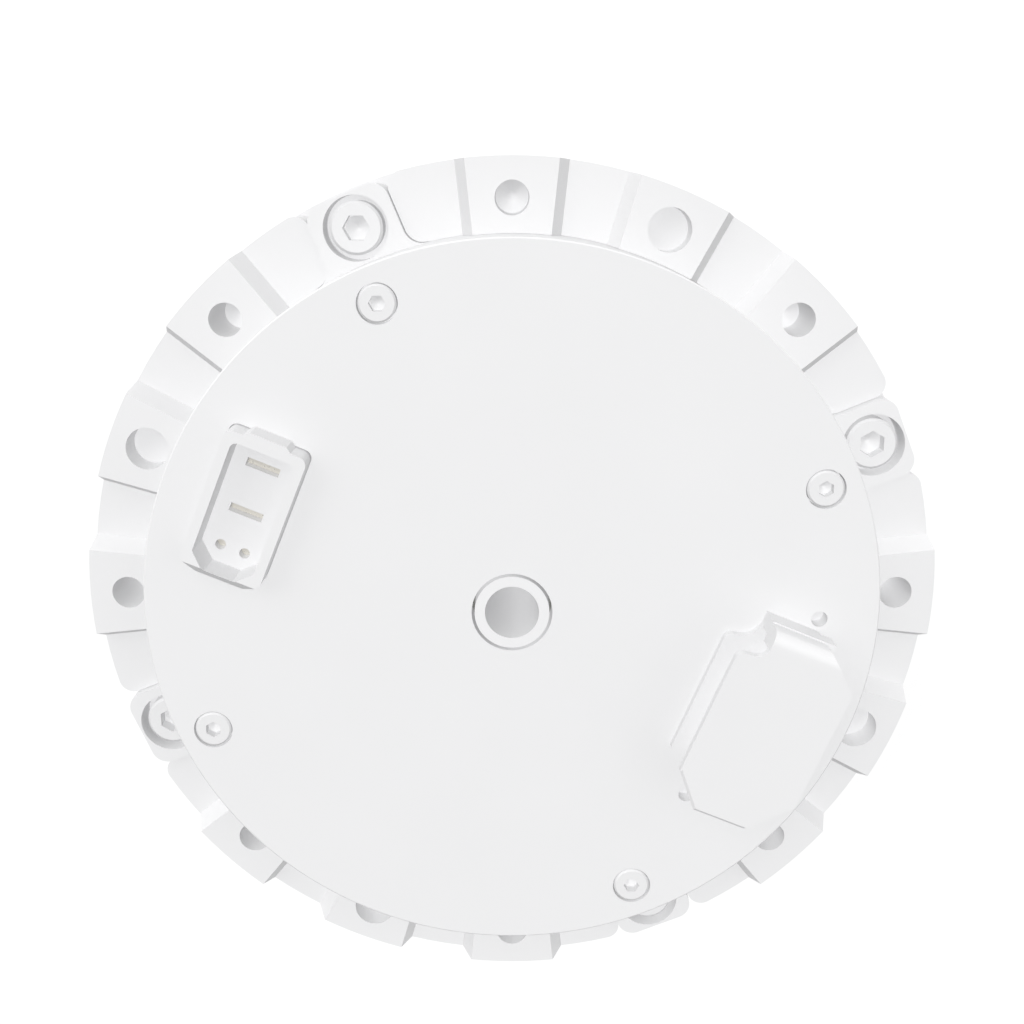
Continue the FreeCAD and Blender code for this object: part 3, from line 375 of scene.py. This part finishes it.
# port B: a larger inner round where the collar steps in
shoulder = [
    (SHOULDER_LEFT, SHOULDER_LOW, 0),
    (SHOULDER_LEFT, SHOULDER_EDGE, 0),
    (LID_LEFT, SHOULDER_CORNER, SHOULDER_ROUND),
    (LID_LEFT, COLLAR_END, 0),
    (SHOULDER_RIGHT, COLLAR_END, 0),
    (SHOULDER_RIGHT, SHOULDER_LOW, 0),
]
refined("port_b", "port_b_shell", [
    ("UNION", prism(shoulder, cover_top + APART, collar_top, PORT_B_X)),
])

# port B's cap: a foot over the joint, a neck with a round grip, and a rounded end
foot_x = PORT_HALF_WIDTH - PORT_WALL + FOOT_LAP
foot_y = PORT_HALF_LENGTH - PORT_WALL + FOOT_LAP
foot = [
    (-foot_x, -foot_y + FOOT_CUT, FOOT_CUT_ROUND),
    (-foot_x + FOOT_CUT, -foot_y, FOOT_CUT_ROUND),
    (foot_x - FOOT_CUT, -foot_y, FOOT_CUT_ROUND),
    (foot_x, -foot_y + FOOT_CUT, FOOT_CUT_ROUND),
    (foot_x, foot_y, FOOT_END_ROUND),
    (-foot_x, foot_y, FOOT_END_ROUND),
]
neck = [
    (LID_LEFT + APART, NECK_EDGE, 0),
    (LID_LEFT + APART, LID_END - APART, 0),
    (NECK_RIGHT, LID_END - APART, 0),
    (NECK_RIGHT, NECK_LOW, 0),
    (NECK_LOW_LEFT, NECK_LOW, 0),
]
grip = []
for step in range(4 * ARC_STEPS):
    angle = 2 * math.pi * step / (4 * ARC_STEPS)
    grip.append((GRIP_X + GRIP_R * math.cos(angle), GRIP_Y + GRIP_R * math.sin(angle), 0))
lid_end = [
    (LID_LEFT, LID_JOIN, 0),
    (LID_LEFT, LID_END, 0),
    (LID_CORNER_X, LID_END, 0),
    (LID_RIGHT, LID_CORNER_Y, 0),
    (LID_RIGHT, LID_JOIN, 0),
]
centre_y = LID_END - LID_ROUND
centre_z = cap_top - LID_ROUND
rounding = [(-HALF_SWEEP, centre_y, cap_top + CLEAR), (-HALF_SWEEP, centre_y, cap_top)]
for step in range(1, ARC_STEPS + 1):
    angle = math.pi / 2 * (1 - step / ARC_STEPS)
    across = LID_ROUND * math.cos(angle)
    rise = LID_ROUND * math.sin(angle)
    rounding.append((-HALF_SWEEP, centre_y + across, centre_z + rise))
rounding += [(-HALF_SWEEP, LID_END + CLEAR, centre_z), (-HALF_SWEEP, LID_END + CLEAR, cap_top + CLEAR)]
cap_steps = [
    ("UNION", prism(neck, collar_top + APART, cap_top - NECK_DROP, PORT_B_X)),
    ("DIFFERENCE", prism(grip, collar_top - GRIP_SINK, cap_top - GRIP_DROP, PORT_B_X)),
    ("UNION", prism(foot, collar_top - FOOT_SINK, collar_top + FOOT_RISE, PORT_B_X)),
    ("UNION", prism(lid_end, cover_top + LID_LOW, cap_top, PORT_B_X)),
    ("DIFFERENCE", swept(rounding, (2 * HALF_SWEEP, 0, 0), PORT_B_X)),
]
cap_steps += [("DIFFERENCE", edge_bevel(start, end, PORT_B_X)) for start, end in BEVELLED_EDGES]
refined("port_b_cap", "port_b_cap_shell", cap_steps)

# ------------------------------------------------------------------ stage
FLOOR_SIZE = 6.0
FLOOR_GAP = 0.0002      # metres that the floor lies below the output face
bpy.ops.mesh.primitive_plane_add(size=FLOOR_SIZE, location=(0, 0, -FLOOR_GAP))
floor = bpy.context.object
floor.name = "floor"
floor_look = bpy.data.materials.new("look_floor")
floor_nodes = Nodes(floor_look)
floor_tint = floor_nodes.tint(floor_nodes.noise(0.4, 2.0), (0.61, 0.61, 0.61), (0.63, 0.63, 0.63))
floor_nodes.link(floor_tint, floor_nodes.shader.inputs["Base Color"])
floor_nodes.shader.inputs["Roughness"].default_value = 0.8
floor_nodes.shader.inputs["Emission Color"].default_value = (1, 1, 1, 1)
floor_nodes.shader.inputs["Emission Strength"].default_value = 0.17
floor.data.materials.append(floor_look)

world = bpy.context.scene.world or bpy.data.worlds.new("studio")
bpy.context.scene.world = world
world.use_nodes = True
background = world.node_tree.nodes["Background"]
background.inputs["Color"].default_value = (1, 1, 1, 1)
background.inputs["Strength"].default_value = 0.46


def soft_sun(name, source, strength, spread):
    """A far, broad studio light; source points from the part towards it, spread is its width in degrees."""
    data = bpy.data.lights.new(name, "SUN")
    data.energy = strength
    data.angle = math.radians(spread)
    data.use_shadow = False
    lamp = bpy.data.objects.new(name, data)
    lamp.rotation_euler = Vector(source).to_track_quat("Z", "Y").to_euler()
    bpy.context.scene.collection.objects.link(lamp)


soft_sun("front", (0.0, 0.55, 0.835), 1.95, 14)
soft_sun("key", (-0.60, 0.55, 0.58), 1.66, 60)
soft_sun("fill", (0.80, 0.0, 0.60), 0.58, 60)

bpy.context.scene.view_settings.view_transform = "Standard"

# ------------------------------------------------------------------ camera
camera_place = Vector((0, 44.0, 208.8)) * MM
camera_target = Vector((0, 0, 43.7)) * MM
back = (camera_place - camera_target).normalized()
right = Vector((1, 0, 0))
up = back.cross(right)
camera_data = bpy.data.cameras.new("camera")
camera_data.sensor_width = 36.0
camera_data.lens = 44.9
camera_data.clip_start = 0.01
camera = bpy.data.objects.new("camera", camera_data)
camera.matrix_world = Matrix.Translation(camera_place) @ Matrix((right, up, back)).transposed().to_4x4()
bpy.context.scene.collection.objects.link(camera)
bpy.context.scene.camera = camera
